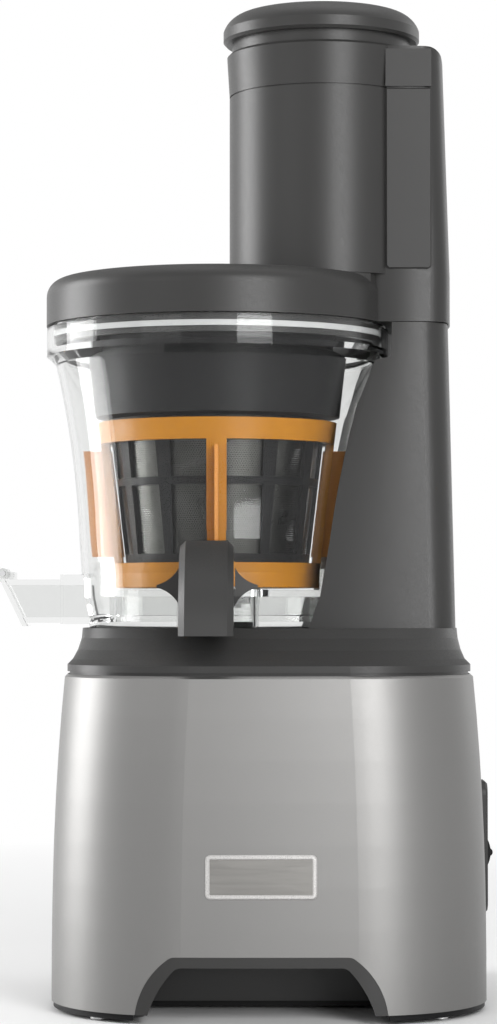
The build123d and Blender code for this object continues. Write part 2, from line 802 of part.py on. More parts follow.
with BuildPart() as mount_screws:
    for x, y in post_spots:
        disc(x, y, screw_radius, gearcase_floor - 16, gearcase_floor + 4)
        disc(x, y, screw_radius + 1.6, gearcase_floor + 4, gearcase_floor + 6)
save(mount_screws.part, "mount_screws")

with BuildPart() as motor_mounts:
    for x, y in post_spots:
        disc(x, y, post_radius + 1, gearcase_floor - 4, gearcase_floor)
        disc(x, y, screw_radius, gearcase_floor - 5, gearcase_floor + 1, Mode.SUBTRACT)
save(motor_mounts.part, "motor_mounts")

with BuildPart() as shaft_bearings:
    disc(0, 0, 10, gearcase_floor + 2, gearcase_floor + 9)
    disc(0, 0, 10, gearcase_roof - 4, gearcase_roof + 4)
    disc(0, 0, shaft_radius + running_gap, 90, 150, Mode.SUBTRACT)
save(shaft_bearings.part, "shaft_bearings")

with BuildPart() as layshaft_pin:
    disc(layshaft_x, layshaft_y, layshaft_radius, gearcase_floor + 1, gearcase_roof - 1.5)
save(layshaft_pin.part, "layshaft_pin")

with BuildPart() as drive_shaft:
    disc(0, 0, shaft_radius, gearcase_floor + 2.5, hex_tip_level)
    with BuildSketch(Plane.XY.offset(hub_top - 1)):
        Circle(shaft_radius + 1)
        RegularPolygon(hex_flats / 2, 6, major_radius=False, mode=Mode.SUBTRACT)
    extrude(amount=hex_tip_level - hub_top + 2, mode=Mode.SUBTRACT)
    chamfer(drive_shaft.edges().group_by(Axis.Z)[-1], 0.8)
save(drive_shaft.part, "drive_shaft")

with BuildPart() as output_gear:
    gear(0, 0, second_gear_level, second_gear_width, output_outline)
    disc(0, 0, 12, second_gear_level - 9, second_gear_level + second_gear_width + 1)
    disc(0, 0, 33, second_gear_level + 3, second_gear_level + second_gear_width + 1, Mode.SUBTRACT)
    disc(0, 0, 12, second_gear_level, second_gear_level + second_gear_width + 1)
    disc(0, 0, shaft_radius, 90, 150, Mode.SUBTRACT)
save(output_gear.part, "output_gear")

with BuildPart() as compound_gear:
    gear(layshaft_x, layshaft_y, first_gear_level, first_gear_width, first_outline)
    gear(
        layshaft_x,
        layshaft_y,
        first_gear_level + first_gear_width,
        second_gear_level + second_gear_width - first_gear_level - first_gear_width,
        second_outline,
    )
    disc(layshaft_x, layshaft_y, layshaft_radius + running_gap, 90, 150, Mode.SUBTRACT)
save(compound_gear.part, "compound_gear")

# ---------------------------------------------------------------- motor
motor_top = gearcase_floor
with BuildPart() as motor_can:
    disc(motor_x, motor_y, motor_radius, motor_bottom, motor_top)
    disc(motor_x, motor_y, motor_radius - 2, motor_bottom + 2, motor_top - 4, Mode.SUBTRACT)
    disc(motor_x, motor_y, 11, motor_bottom, motor_bottom + 8)
    disc(motor_x, motor_y, 8, motor_bottom + 2, motor_bottom + 8, Mode.SUBTRACT)
    disc(motor_x, motor_y, 8, motor_top - 4, motor_top, Mode.SUBTRACT)
    for i in range(6):
        spot = polar(motor_x, motor_y, 21, 60 * i + 20)
        disc(spot[0], spot[1], 4, motor_bottom - 1, motor_bottom + 2.5, Mode.SUBTRACT)
save(motor_can.part, "motor_can")

with BuildPart() as stator_core:
    disc(motor_x, motor_y, motor_radius - 2, 44, 76)
    disc(motor_x, motor_y, 19, 40, 80, Mode.SUBTRACT)
save(stator_core.part, "stator_core")

with BuildPart() as motor_bearings:
    disc(motor_x, motor_y, 8, motor_bottom + 2, motor_bottom + 8)
    disc(motor_x, motor_y, 8, motor_top - 4, motor_top)
    disc(motor_x, motor_y, rotor_shaft_radius + running_gap, 20, 150, Mode.SUBTRACT)
save(motor_bearings.part, "motor_bearings")

with BuildPart() as rotor_shaft:
    disc(motor_x, motor_y, rotor_shaft_radius, motor_bottom + 2.5, first_gear_level)
    gear(motor_x, motor_y, first_gear_level, first_gear_width, motor_outline)
save(rotor_shaft.part, "rotor_shaft")

with BuildPart() as rotor_core:
    disc(motor_x, motor_y, 18.4, 46, 74)
    for i in range(12):
        spot = polar(motor_x, motor_y, 18.4, 30 * i)
        disc(spot[0], spot[1], 1.5, 45, 75, Mode.SUBTRACT)
    disc(motor_x, motor_y, rotor_shaft_radius, 40, 80, Mode.SUBTRACT)
save(rotor_core.part, "rotor_core")

with BuildPart() as cooling_fan:
    disc(motor_x, motor_y, 7, 79, 88)
    disc(motor_x, motor_y, 24, 79, 80.5)
    for i in range(8):
        with BuildSketch(Plane((motor_x, motor_y, 80.5))):
            with Locations(polar(0, 0, 15, 45 * i)):
                Rectangle(17, 1.2, rotation=45 * i + 12)
        extrude(amount=7)
    disc(motor_x, motor_y, rotor_shaft_radius, 70, 90, Mode.SUBTRACT)
save(cooling_fan.part, "cooling_fan")

# ================================================================ bowl
bowl_room = bowl_space(-bowl_wall, rim_inner_radius, rim_top + 1)
spout_low = spout_middle - spout_height / 2
spout_high = spout_middle + spout_height / 2
spout_slope = (spout_bottom_end - spout_top_end) / spout_height
pin_x = spout_top_end - 1.2
pin_level = spout_high + 2.7


def beyond_spout_end(gap, depth):
    """The wedge of space past the spout's slanted end, starting at a gap from it."""
    with BuildPart() as wedge:
        with BuildSketch(Plane((0, depth, 0), x_dir=(1, 0, 0), z_dir=(0, -1, 0))):
            low = spout_low - 20
            high = spout_high + 20
            with BuildLine():
                Polyline(
                    (spout_top_end + (spout_high - low) * spout_slope - gap, low),
                    (spout_top_end - 20 * spout_slope - gap, high),
                    (-140, high),
                    (-140, low),
                    close=True,
                )
            make_face()
        extrude(amount=2 * depth)
    return wedge.part


plug_half = duct_half_width - 1.0
with BuildPart() as juicing_bowl:
    add(bowl_space(0, rim_radius, rim_top))
    chamfer(juicing_bowl.edges().group_by(Axis.Z)[-1], 1.0)
    block(duct_x - riser_half, duct_x + riser_half, -66, -50, plateau_level, riser_top)
    block(-94, -50, -spout_width / 2, spout_width / 2, spout_low, spout_high)
    block(-98, -90, -spout_width / 2, spout_width / 2, spout_low, spout_high)
    block(-70.6, -54, -spout_width / 2 - 2.5, spout_width / 2 + 2.5, spout_low - 0.5, spout_high + 2.2)
    add(beyond_spout_end(0, 30), mode=Mode.SUBTRACT)
    for side_y in (-1, 1):
        with Locations((pin_x, side_y * (spout_width / 2 - 2), pin_level)):
            Cylinder(2.4, 4, rotation=(90, 0, 0))
        near = side_y * (spout_width / 2 - 2) - 2
        block(pin_x, spout_top_end + 1, near, near + 4, pin_level - 1.4, pin_level + 0.6)
        block(spout_top_end + 0.6, pin_x + 5, near, near + 4, spout_high - 1, pin_level + 0.6)
    with Locations((pin_x, 0, pin_level)):
        Cylinder(cap_pin_radius, 40, rotation=(90, 0, 0), mode=Mode.SUBTRACT)
    add(bowl_room, mode=Mode.SUBTRACT)
    disc(0, 0, bowl_foot_radius - bowl_wall + 1.5, gutter_level - floor_wall, gutter_level)
    disc(0, 0, plateau_radius, gutter_level - floor_wall, plateau_level)
    disc(0, 0, plateau_radius - floor_wall, seat_level - 1, plateau_level - floor_wall, Mode.SUBTRACT)
    disc(0, 0, boss_radius + 2.6, seat_level + 0.6, plateau_level - 1)
    disc(0, 0, boss_radius + 0.5, seat_level - 1, plateau_level - floor_wall, Mode.SUBTRACT)
    block(
        duct_x - duct_half_width - duct_wall,
        duct_x + duct_half_width + duct_wall,
        duct_end,
        -pulp_port_near + duct_wall,
        duct_floor - duct_wall,
        plateau_level,
    )
    disc(0, 0, 11, 175, plateau_level)
    disc(0, 0, hub_radius, plateau_level, hub_top)
    block(
        duct_x - pulp_port_half - pulp_port_edge,
        duct_x + pulp_port_half + pulp_port_edge,
        -pulp_port_far - pulp_port_edge,
        -pulp_port_near + pulp_port_edge,
        plateau_level - 1,
        strainer_floor,
    )
    disc(0, 0, seal_radius, 170, 179, Mode.SUBTRACT)
    disc(0, 0, hub_bore, 170, 200, Mode.SUBTRACT)
    block(
        duct_x - duct_half_width,
        duct_x + duct_half_width,
        duct_end - 10,
        -pulp_port_near,
        duct_floor,
        duct_ceiling,
        Mode.SUBTRACT,
    )
    block(
        duct_x - pulp_port_half,
        duct_x + pulp_port_half,
        -pulp_port_far,
        -pulp_port_near,
        duct_floor,
        strainer_floor + 1,
        Mode.SUBTRACT,
    )
    block(
        duct_x - plug_half,
        duct_x + plug_half,
        -44,
        -26,
        duct_floor - duct_wall - 1,
        duct_floor,
        Mode.SUBTRACT,
    )
    block(
        -120,
        -50.5,
        -spout_width / 2 + spout_wall,
        spout_width / 2 - spout_wall,
        spout_low + spout_wall,
        spout_high - spout_wall,
        Mode.SUBTRACT,
    )
    disc(idler_x, idler_y, 6, plateau_level - 6, plateau_level)
    disc(idler_x, idler_y, 3, plateau_level - 5, plateau_level + 1, Mode.SUBTRACT)
save(juicing_bowl.part, "juicing_bowl")

with BuildPart() as bowl_center_seal:
    disc(0, 0, seal_radius, 175, 179)
    disc(0, 0, shaft_radius + running_gap, 170, 180, Mode.SUBTRACT)
save(bowl_center_seal.part, "bowl_center_seal")

with BuildPart() as idler_pin:
    disc(idler_x, idler_y, 3, plateau_level - 5, plateau_level + 7.6)
save(idler_pin.part, "idler_pin")

with BuildPart() as pulp_plug:
    block(duct_x - plug_half, duct_x + plug_half, -44, -26, duct_floor - duct_wall, duct_floor)
    block(duct_x - 5, duct_x + 5, -41, -29, duct_floor - duct_wall - 0.4, duct_floor - duct_wall)
save(pulp_plug.part, "pulp_plug")

# The saddle is the flange that follows the bowl's wall and sweeps out to a tip on each side.
saddle_reach = 22.0
saddle_half_height = 15.5
saddle_wall = 2.4
with BuildPart() as saddle:
    with BuildSketch(Plane((duct_x, -45, 184.3), x_dir=(1, 0, 0), z_dir=(0, -1, 0))):
        with BuildLine():
            for side in (-1, 1):
                for end in (-1, 1):
                    ThreePointArc(
                        (side * saddle_reach, end * 0.6),
                        (side * (chute_half + 2.6), end * saddle_half_height / 3),
                        (side * (chute_half - 1), end * saddle_half_height),
                    )
                Line((side * saddle_reach, -0.6), (side * saddle_reach, 0.6))
            for end in (-1, 1):
                level = end * saddle_half_height
                Line((1 - chute_half, level), (chute_half - 1, level))
        make_face()
    extrude(amount=25)
    add(bowl_space(saddle_wall, rim_radius + saddle_wall, rim_top), mode=Mode.INTERSECT)

with BuildPart() as pulp_chute:
    with BuildSketch(Plane((duct_x + chute_half, 0, 0), x_dir=(0, -1, 0), z_dir=(-1, 0, 0))):
        with BuildLine():
            nose = ThreePointArc((66.5, 204), (90.5, 192.5), (-chute_front, chute_mouth))
            Polyline(
                nose @ 1,
                (-chute_front - 16.5, chute_mouth),
                (82, duct_floor - duct_wall),
                (54, duct_floor - duct_wall),
                (54, 204),
                nose @ 0,
            )
        make_face()
    extrude(amount=2 * chute_half)
    chamfer(pulp_chute.edges().filter_by(GeomType.CIRCLE), 2.6)
    add(saddle.part)
    with BuildSketch(Plane((duct_x + duct_half_width, 0, 0), x_dir=(0, -1, 0), z_dir=(-1, 0, 0))):
        with BuildLine():
            inside = ThreePointArc((69, 199), (88, 189), (-chute_front - 2.5, chute_mouth - 1))
            Polyline(
                inside @ 1,
                (-chute_front - 13, chute_mouth - 1),
                (84, duct_floor),
                (54, duct_floor),
                (54, duct_ceiling),
                (69, duct_ceiling),
                inside @ 0,
            )
        make_face()
    extrude(amount=2 * duct_half_width, mode=Mode.SUBTRACT)
    add(bowl_space(0, rim_radius, rim_top), mode=Mode.SUBTRACT)
    block(
        duct_x - riser_half, duct_x + riser_half, -66, -50, plateau_level, riser_top, Mode.SUBTRACT
    )
    block(
        duct_x - duct_half_width - duct_wall,
        duct_x + duct_half_width + duct_wall,
        duct_end,
        -40,
        duct_floor - duct_wall,
        plateau_level,
        Mode.SUBTRACT,
    )
save(pulp_chute.part, "pulp_chute")

# ---------------------------------------------------------------- spout cap
with BuildPart() as spout_cap:
    block(-112, -80, -spout_width / 2 - 0.6, spout_width / 2 + 0.6, spout_low - 1.5, spout_high)
    add(beyond_spout_end(cap_gap, 30), mode=Mode.INTERSECT)
    add(beyond_spout_end(cap_gap + cap_thickness, 30), mode=Mode.SUBTRACT)
    with Locations((pin_x, 0, pin_level)):
        Cylinder(2.4, spout_width - 8.6, rotation=(90, 0, 0))
    block(
        pin_x - 2.4,
        pin_x,
        -spout_width / 2 + 4.3,
        spout_width / 2 - 4.3,
        spout_high - 1,
        pin_level,
    )
    with Locations((pin_x, 0, pin_level)):
        Cylinder(cap_pin_radius + running_gap, 40, rotation=(90, 0, 0), mode=Mode.SUBTRACT)
    for side_y in (-1, 1):
        with Locations((pin_x, side_y * (spout_width / 2 - 1.6), pin_level)):
            Cylinder(2.8, 5.5, rotation=(90, 0, 0), mode=Mode.SUBTRACT)
save(spout_cap.part, "spout_cap")

with BuildPart() as cap_pin:
    with Locations((pin_x, 0, pin_level)):
        Cylinder(cap_pin_radius, spout_width + 0.6, rotation=(90, 0, 0))
save(cap_pin.part, "cap_pin")

# ================================================================ strainer
cone_slope = (strainer_top_radius - strainer_foot_radius) / (strainer_cone_top - strainer_floor)


def cone_radius(level):
    """Outer radius of the strainer's cone at a level."""
    return strainer_foot_radius + (level - strainer_floor) * cone_slope


def cone_band(inner, outer, bottom, top):
    """Closed outline of a band between two offsets from the strainer's cone."""
    return [
        (cone_radius(bottom) + inner, bottom),
        (cone_radius(bottom) + outer, bottom),
        (cone_radius(top) + outer, top),
        (cone_radius(top) + inner, top),
    ]


mesh_low = 197.0
mesh_high = 254.0
window_rows = [(199.0, 229.5), (233.0, 252.0)]
window_count = 12
window_width = 17.5
floor_hole = scroll_neck_radius + 0.6

def window_spokes(low, high):
    """The boxes that cut one row of windows through the strainer's wall, clear of its middle."""
    with BuildPart() as spokes:
        for i in range(window_count // 2):
            with Locations((0, 0, (low + high) / 2)):
                Box(120, window_width, high - low, rotation=(0, 0, 360 / window_count * (i + 0.5)))
        disc(0, 0, 30, low - 1, high + 1, Mode.SUBTRACT)
    return spokes.part


with BuildPart() as strainer_frame:
    turned(cone_band(-strainer_wall, 0, strainer_floor, strainer_cone_top))
    disc(0, 0, strainer_foot_radius - 1, strainer_floor, strainer_floor + strainer_floor_wall)
    turned(
        [
            (strainer_top_radius - strainer_wall, strainer_cone_top - 2.5),
            (cone_radius(strainer_cone_top - 2.5), strainer_cone_top - 2.5),
            (strainer_top_radius, strainer_cone_top + 0.5),
            (collar_bottom_radius, strainer_cone_top + 1.5),
            (collar_top_radius, collar_top),
            (collar_top_radius - strainer_wall, collar_top),
            (collar_bottom_radius - strainer_wall, strainer_cone_top + 4.5),
            (strainer_top_radius - strainer_wall, strainer_cone_top + 3),
        ]
    )
    disc(0, 0, floor_hole, strainer_floor - 1, strainer_floor + 5, Mode.SUBTRACT)
    block(
        duct_x - pulp_port_half,
        duct_x + pulp_port_half,
        -pulp_port_far,
        -pulp_port_near,
        strainer_floor - 1,
        strainer_floor + 5,
        Mode.SUBTRACT,
    )
    for low, high in window_rows:
        add(window_spokes(low, high), mode=Mode.SUBTRACT)
    turned(cone_band(-strainer_wall - 1, mesh_wall - strainer_wall, mesh_low, mesh_high), Mode.SUBTRACT)
save(strainer_frame.part, "strainer_frame")

with BuildPart() as strainer_mesh:
    turned(cone_band(-strainer_wall, mesh_wall - strainer_wall, mesh_low, mesh_high))
save(strainer_mesh.part, "strainer_mesh")

# ================================================================ idler, wiper and scroll
with BuildPart() as idler_gear:
    gear(idler_x, idler_y, plateau_level + 1.2, 6.2, idler_outline)
    disc(idler_x, idler_y, 6, plateau_level + 0.3, plateau_level + 2)
    disc(idler_x, idler_y, 3 + running_gap, 180, 200, Mode.SUBTRACT)
save(idler_gear.part, "idler_gear")

post_half = wiper_post_width / 2
with BuildPart() as posts_and_rings:
    block(-70, 70, -post_half, post_half, wiper_bottom, wiper_top + 1)
    block(-post_half, post_half, -70, 70, wiper_bottom, wiper_top + 1)
    disc(0, 0, 70, wiper_bottom, wiper_low_ring_top)
    disc(0, 0, 70, wiper_high_ring, wiper_top + 1)

with BuildPart() as wiper_shell:
    turned(cone_band(wiper_gap, wiper_gap + wiper_wall, wiper_gear_top - 1, wiper_top))
    add(posts_and_rings.part, mode=Mode.INTERSECT)

blade_reach = bowl_waist_radius - bowl_wall - blade_wall_gap
with BuildPart() as blade_form:
    for direction in (0, 90, 180, 270):
        plane = Plane(
            (0, 0, 0),
            x_dir=(cos(radians(direction)), sin(radians(direction)), 0),
            z_dir=(sin(radians(direction)), -cos(radians(direction)), 0),
        )
        with BuildSketch(plane):
            with BuildLine():
                Polyline(
                    (cone_radius(198) + blade_mesh_gap, 198),
                    (blade_reach - 0.9, 198),
                    (blade_reach, bowl_waist_level),
                    (blade_reach + 2.4, 238),
                    (blade_reach + 3.3, 246),
                    (cone_radius(246) + blade_mesh_gap, 246),
                    close=True,
                )
            make_face()
        extrude(amount=blade_wall / 2, both=True)
save(blade_form.part, "wiper_blades")

with BuildPart() as wiper_cage:
    add(wiper_shell.part)
    ring_outer = cone_radius(wiper_gear_top) + wiper_gap + wiper_wall
    turned(
        [
            (ring_inner_radius, wiper_bottom),
            (ring_outer, wiper_bottom),
            (ring_outer, wiper_gear_top),
            (ring_inner_radius, wiper_gear_top),
        ]
    )
    gear(0, 0, wiper_bottom - 1, wiper_gear_top - wiper_bottom + 1, ring_points(), Mode.SUBTRACT)
    disc(0, 0, ring_inner_radius, 180, wiper_gear_top + 1, Mode.SUBTRACT)
    add(blade_form.part, mode=Mode.SUBTRACT)
save(wiper_cage.part, "wiper_cage")

flight_bottom = strainer_floor + strainer_floor_wall + 1.5
flight_steps = 20
flight_step = 26.0


def flight_radius(level):
    """Outer radius of the scroll's flight at a level; it narrows above the strainer."""
    below = cone_radius(min(level, strainer_cone_top)) - strainer_wall - flight_gap
    return below - 1.1 * max(0.0, level - strainer_cone_top - 2.5)


with BuildPart() as flight:
    for i in range(flight_steps + 1):
        turn = radians(flight_step * i)
        low = flight_bottom + 0.3 + flight_pitch * flight_step * i / 360
        high = low + flight_wall - 0.4
        out = (cos(turn), sin(turn), 0)
        with BuildSketch(Plane((0, 0, 0), x_dir=out, z_dir=(sin(turn), -cos(turn), 0))):
            with BuildLine():
                Polyline(
                    (7, low),
                    (flight_radius(low), low),
                    (flight_radius(high), high),
                    (7, high + 2),
                    close=True,
                )
            make_face()
    loft(ruled=True)

with BuildPart() as scroll:
    turned(
        [
            (0, wiper_gear_top),
            (scroll_neck_radius, wiper_gear_top),
            (scroll_neck_radius, flight_bottom - 0.5),
            (20, flight_bottom),
            (33, flight_bottom),
            (30, 212),
            (22, 240),
            (14, 268),
            (10, 288),
            (8.2, 299),
            (scroll_pin_radius, 300.5),
            (scroll_pin_radius, scroll_pin_top - 1),
            (scroll_pin_radius - 1, scroll_pin_top),
            (0, scroll_pin_top),
        ]
    )
    add(flight.part)
    gear(0, 0, plateau_level + 1.2, wiper_gear_top - plateau_level - 1.2, scroll_gear)
    disc(0, 0, hub_radius + hub_gap, plateau_level, hub_top + 0.6, Mode.SUBTRACT)
    disc(0, 0, 8.5, hub_top, hex_tip_level + 3, Mode.SUBTRACT)
save(scroll.part, "scroll")

with BuildPart() as scroll_hex:
    disc(0, 0, 8.5, hub_top + 0.6, hex_tip_level + 3)
    with BuildSketch(Plane.XY.offset(hub_top)):
        RegularPolygon(hex_flats / 2 + hex_gap, 6, major_radius=False)
    extrude(amount=hex_tip_level + 1 - hub_top, mode=Mode.SUBTRACT)
save(scroll_hex.part, "scroll_hex")

# ================================================================ lid, tower and pusher
def slope_cut(shift, low, depth):
    """The space above the throat's slope, shifted down it by a gap, for the feed's inside."""
    with BuildPart() as space:
        with BuildSketch(Plane((0, depth, 0), x_dir=(1, 0, 0), z_dir=(0, -1, 0))):
            with BuildLine():
                Polyline(
                    (-80, low),
                    (slope_foot_x - shift, low),
                    (slope_foot_x - shift, rim_top + 8),
                    (tube_x + tube_bore - shift, slope_top_level),
                    (tube_x + tube_bore - shift, tube_top + 30),
                    (-80, tube_top + 30),
                    close=True,
                )
            make_face()
        extrude(amount=2 * depth)
    return space.part


lid_bottom = rim_top + lid_seam_gap
with BuildPart() as throat_mouth:
    disc(0, 0, throat_radius, plug_bottom - 10, lid_top - lid_wall - 0.5)
    disc(0, 0, 9, plug_bottom - 11, lid_top, Mode.SUBTRACT)
    block(-60, 60, -3, 3, plug_bottom + 8, lid_top, Mode.SUBTRACT)

with BuildPart() as feed_space:
    disc(tube_x, 0, tube_bore, rim_top + 8, tube_top + 5)
    add(slope_cut(0, plug_bottom - 10, 50), mode=Mode.INTERSECT)
    add(throat_mouth.part)
    disc(0, 0, 9, plug_bottom - 11, lid_top, Mode.SUBTRACT)


def tower_outline(inset, right=tower_right):
    """Plan of the tower block up to its right side, drawn in by an inset."""
    width = right - tower_left - 2 * inset
    plan = bowed_rectangle(width, 2 * (tower_half - inset), tower_corner - inset, arm_bow)
    return plan.moved(Location(((tower_left + right) / 2, 0, 0)))


tower_top = tube_top - 1.0
tower_lean = (tower_right - tower_right_top) / (tower_top - lid_top)


def tower_form(inset, bottom, top):
    """The tower block between two levels, drawn in by an inset, with its outer top edge rounded."""
    high = tower_top - inset
    corner = tower_round - inset
    side = tower_right_top + tower_lean * tower_round - inset
    with BuildPart() as form:
        with BuildSketch(Plane.XY.offset(lid_top)):
            add(tower_outline(inset))
        with BuildSketch(Plane.XY.offset(tower_top)):
            add(tower_outline(inset, tower_right_top))
        loft()
        with BuildSketch(Plane((0, 50, 0), x_dir=(1, 0, 0), z_dir=(0, -1, 0))):
            with Locations((side - corner, high - corner)):
                Rectangle(corner + 5, corner + 5, align=(Align.MIN, Align.MIN))
                Circle(corner, mode=Mode.SUBTRACT)
        extrude(amount=100, mode=Mode.SUBTRACT)
        block(0, 130, -60, 60, min(top, high), tower_top + 1, Mode.SUBTRACT)
        if bottom > lid_top:
            block(0, 130, -60, 60, lid_top - 1, bottom, Mode.SUBTRACT)
    return form.part


with BuildPart() as throat_walls:
    disc(0, 0, throat_radius + lid_wall, collar_top - 4.5, lid_top - 1)
    disc(tube_x, 0, tube_bore + 2, lid_bottom, lid_top)
    disc(0, 0, lid_radius - 1, collar_top - 5, lid_top, Mode.INTERSECT)

with BuildPart() as lid_shell:
    disc(0, 0, lid_radius, lid_bottom, lid_top)
    fillet(lid_shell.edges().group_by(Axis.Z)[-1], lid_edge_radius)
    with BuildSketch(Plane.XY.offset(lid_bottom)):
        add(tower_outline(0))
    extrude(amount=lid_top - lid_bottom)
    disc(0, 0, plug_radius, plug_bottom, lid_bottom)
    disc(0, 0, plug_radius - lid_wall, plug_bottom - 1, lid_top - lid_wall, Mode.SUBTRACT)
    with BuildSketch(Plane.XY.offset(lid_bottom + lid_wall)):
        add(tower_outline(lid_wall))
        Circle(plug_radius, mode=Mode.SUBTRACT)
    extrude(amount=lid_top - 2 * lid_wall - lid_bottom, mode=Mode.SUBTRACT)
    add(throat_walls.part)
    add(feed_space.part, mode=Mode.SUBTRACT)
    disc(0, 0, scroll_pin_radius + 1.6, plug_bottom - 11, scroll_pin_top + 0.8, Mode.SUBTRACT)
    disc(0, 0, 30, plug_bottom - 12, rim_top - 0.7, Mode.SUBTRACT)
save(lid_shell.part, "lid_shell")

with BuildPart() as scroll_bush:
    disc(0, 0, scroll_pin_radius + 1.6, plug_bottom + 8, scroll_pin_top + 0.8)
    disc(0, 0, scroll_pin_radius + running_gap, plug_bottom, scroll_pin_top + 0.3, Mode.SUBTRACT)
save(scroll_bush.part, "scroll_bush")

with BuildPart() as lid_seal:
    disc(0, 0, rim_inner_radius - 0.1, plug_bottom + 2.5, plug_bottom + 5)
    disc(0, 0, plug_radius, plug_bottom, plug_bottom + 8, Mode.SUBTRACT)
save(lid_seal.part, "lid_seal")

with BuildPart() as lid_magnet:
    disc(sensor_x, 0, 4, lid_bottom + lid_wall, lid_bottom + lid_wall + 4)
save(lid_magnet.part, "lid_magnet")

panel_left = 75.0
panel_right = 95.4
panel_low = 325.7
panel_seat = -tower_half + 1.2
panel_rise = 0.8
with BuildPart() as tower_panel:
    block(
        panel_left, panel_right, -tower_half - panel_rise, panel_seat, panel_low, seam_level - seam_gap
    )
    fillet(tower_panel.edges().filter_by(Axis.Y).group_by(Axis.Z)[0], 2.0)
    chamfer(tower_panel.faces().sort_by(Axis.Y)[0].edges(), 0.6)
save(tower_panel.part, "tower_panel")

with BuildPart() as feed_tower:
    add(tower_form(0, lid_top, seam_level))
    add(tower_form(tower_wall, lid_top, seam_level), mode=Mode.SUBTRACT)
    disc(tube_x, 0, tube_radius, lid_top, seam_level)
    disc(tube_x, 0, tube_radius + seam_groove, seam_level - seam_gap, seam_level, Mode.SUBTRACT)
    disc(tube_x, 0, tube_radius - seam_groove, seam_level - seam_gap, seam_level)
    add(feed_space.part, mode=Mode.SUBTRACT)
    add(tower_panel.part, mode=Mode.SUBTRACT)
save(feed_tower.part, "feed_tower")

with BuildPart() as tower_rim:
    add(tower_form(0, seam_level, tower_top))
    block(
        panel_left, panel_right, -tower_half - panel_rise, panel_seat, seam_level, tower_top - 1.5
    )
    add(tower_form(tower_wall, seam_level, tower_top - tower_wall), mode=Mode.SUBTRACT)
    turned(
        [
            (0, seam_level),
            (tube_radius, seam_level),
            (tube_radius + rim_flare, tube_top - 1.2),
            (tube_radius + rim_flare - 1.2, tube_top),
            (0, tube_top),
        ],
        axis_x=tube_x,
    )
    disc(tube_x, 0, tube_bore, seam_level - 1, tube_top + 1, Mode.SUBTRACT)
save(tower_rim.part, "tower_rim")

plunger_radius = tube_bore - plunger_gap
head_bottom = tube_top + collar_height
head_radius = tube_bore + head_overhang
with BuildPart() as plunger_hollow:
    disc(tube_x, 0, plunger_radius - plunger_wall, plunger_bottom + plunger_wall, tube_top)
    add(slope_cut(1.2 + 2 * plunger_wall, plunger_bottom, 50), mode=Mode.INTERSECT)

with BuildPart() as plunger:
    disc(tube_x, 0, plunger_radius, plunger_bottom, tube_top)
    add(slope_cut(1.2, plunger_bottom - 1, 50), mode=Mode.INTERSECT)
    add(plunger_hollow.part, mode=Mode.SUBTRACT)
    disc(tube_x, 0, tube_bore + collar_reach, tube_top, head_bottom)
    disc(tube_x, 0, plunger_radius - plunger_wall, tube_top - 1, head_bottom + 1, Mode.SUBTRACT)
save(plunger.part, "plunger")

head_top = head_bottom + head_height
with BuildPart() as pusher_head:
    with BuildSketch(Plane((tube_x, 0, 0), x_dir=(1, 0, 0), z_dir=(0, -1, 0))):
        with BuildLine():
            edge = ThreePointArc(
                (head_radius, head_bottom + 5.5),
                (head_radius - 3.0, head_bottom + 10.2),
                (head_radius - 9.0, head_bottom + 13.2),
            )
            crown = ThreePointArc(
                edge @ 1,
                (head_radius - 24.5, head_bottom + 15.8),
                (6, head_top),
            )
            Polyline(
                crown @ 1,
                (0, head_top),
                (0, head_bottom + 13),
                (tube_bore - 11, head_bottom + 11.5),
                (tube_bore, head_bottom + 7),
                (tube_bore, head_bottom + 4),
                (tube_bore - 1, head_bottom),
                (head_radius - 1.2, head_bottom),
                (head_radius, head_bottom + 1.2),
                edge @ 0,
            )
        make_face()
    revolve(axis=Axis((tube_x, 0, 0), (0, 0, 1)))
save(pusher_head.part, "pusher_head")

with BuildPart() as pusher_plate:
    disc(tube_x, 0, plunger_radius - plunger_wall, head_bottom - 2, head_bottom)
    disc(tube_x, 0, tube_bore - 1.6, head_bottom, head_bottom + 3)
save(pusher_plate.part, "pusher_plate")
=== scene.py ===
"""Looks of the upright juicer: finishes, the bare front plate, the studio and the camera."""

import json
import math

import bpy
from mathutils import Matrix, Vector


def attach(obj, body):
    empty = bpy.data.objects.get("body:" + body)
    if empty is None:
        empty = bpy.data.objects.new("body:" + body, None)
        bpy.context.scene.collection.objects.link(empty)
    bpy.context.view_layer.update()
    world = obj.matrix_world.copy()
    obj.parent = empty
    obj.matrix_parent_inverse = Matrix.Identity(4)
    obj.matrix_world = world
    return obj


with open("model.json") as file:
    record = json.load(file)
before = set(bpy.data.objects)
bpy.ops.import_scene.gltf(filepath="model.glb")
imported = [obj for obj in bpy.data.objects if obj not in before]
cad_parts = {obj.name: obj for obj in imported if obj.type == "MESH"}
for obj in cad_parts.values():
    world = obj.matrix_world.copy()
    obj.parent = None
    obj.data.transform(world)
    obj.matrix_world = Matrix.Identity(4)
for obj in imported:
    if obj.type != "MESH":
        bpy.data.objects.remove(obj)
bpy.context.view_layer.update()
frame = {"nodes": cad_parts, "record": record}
nodes = frame["nodes"]
scene = bpy.context.scene

full_white = (1, 1, 1, 1)


# ---------------------------------------------------------------- node helpers
def new_material(name):
    """An empty node material and its tree, with the output and Principled shader in place."""
    material = bpy.data.materials.new(name)
    material.use_nodes = True
    tree = material.node_tree
    tree.nodes.clear()
    output = tree.nodes.new("ShaderNodeOutputMaterial")
    shader = tree.nodes.new("ShaderNodeBsdfPrincipled")
    tree.links.new(shader.outputs["BSDF"], output.inputs["Surface"])
    return material, tree, shader, output


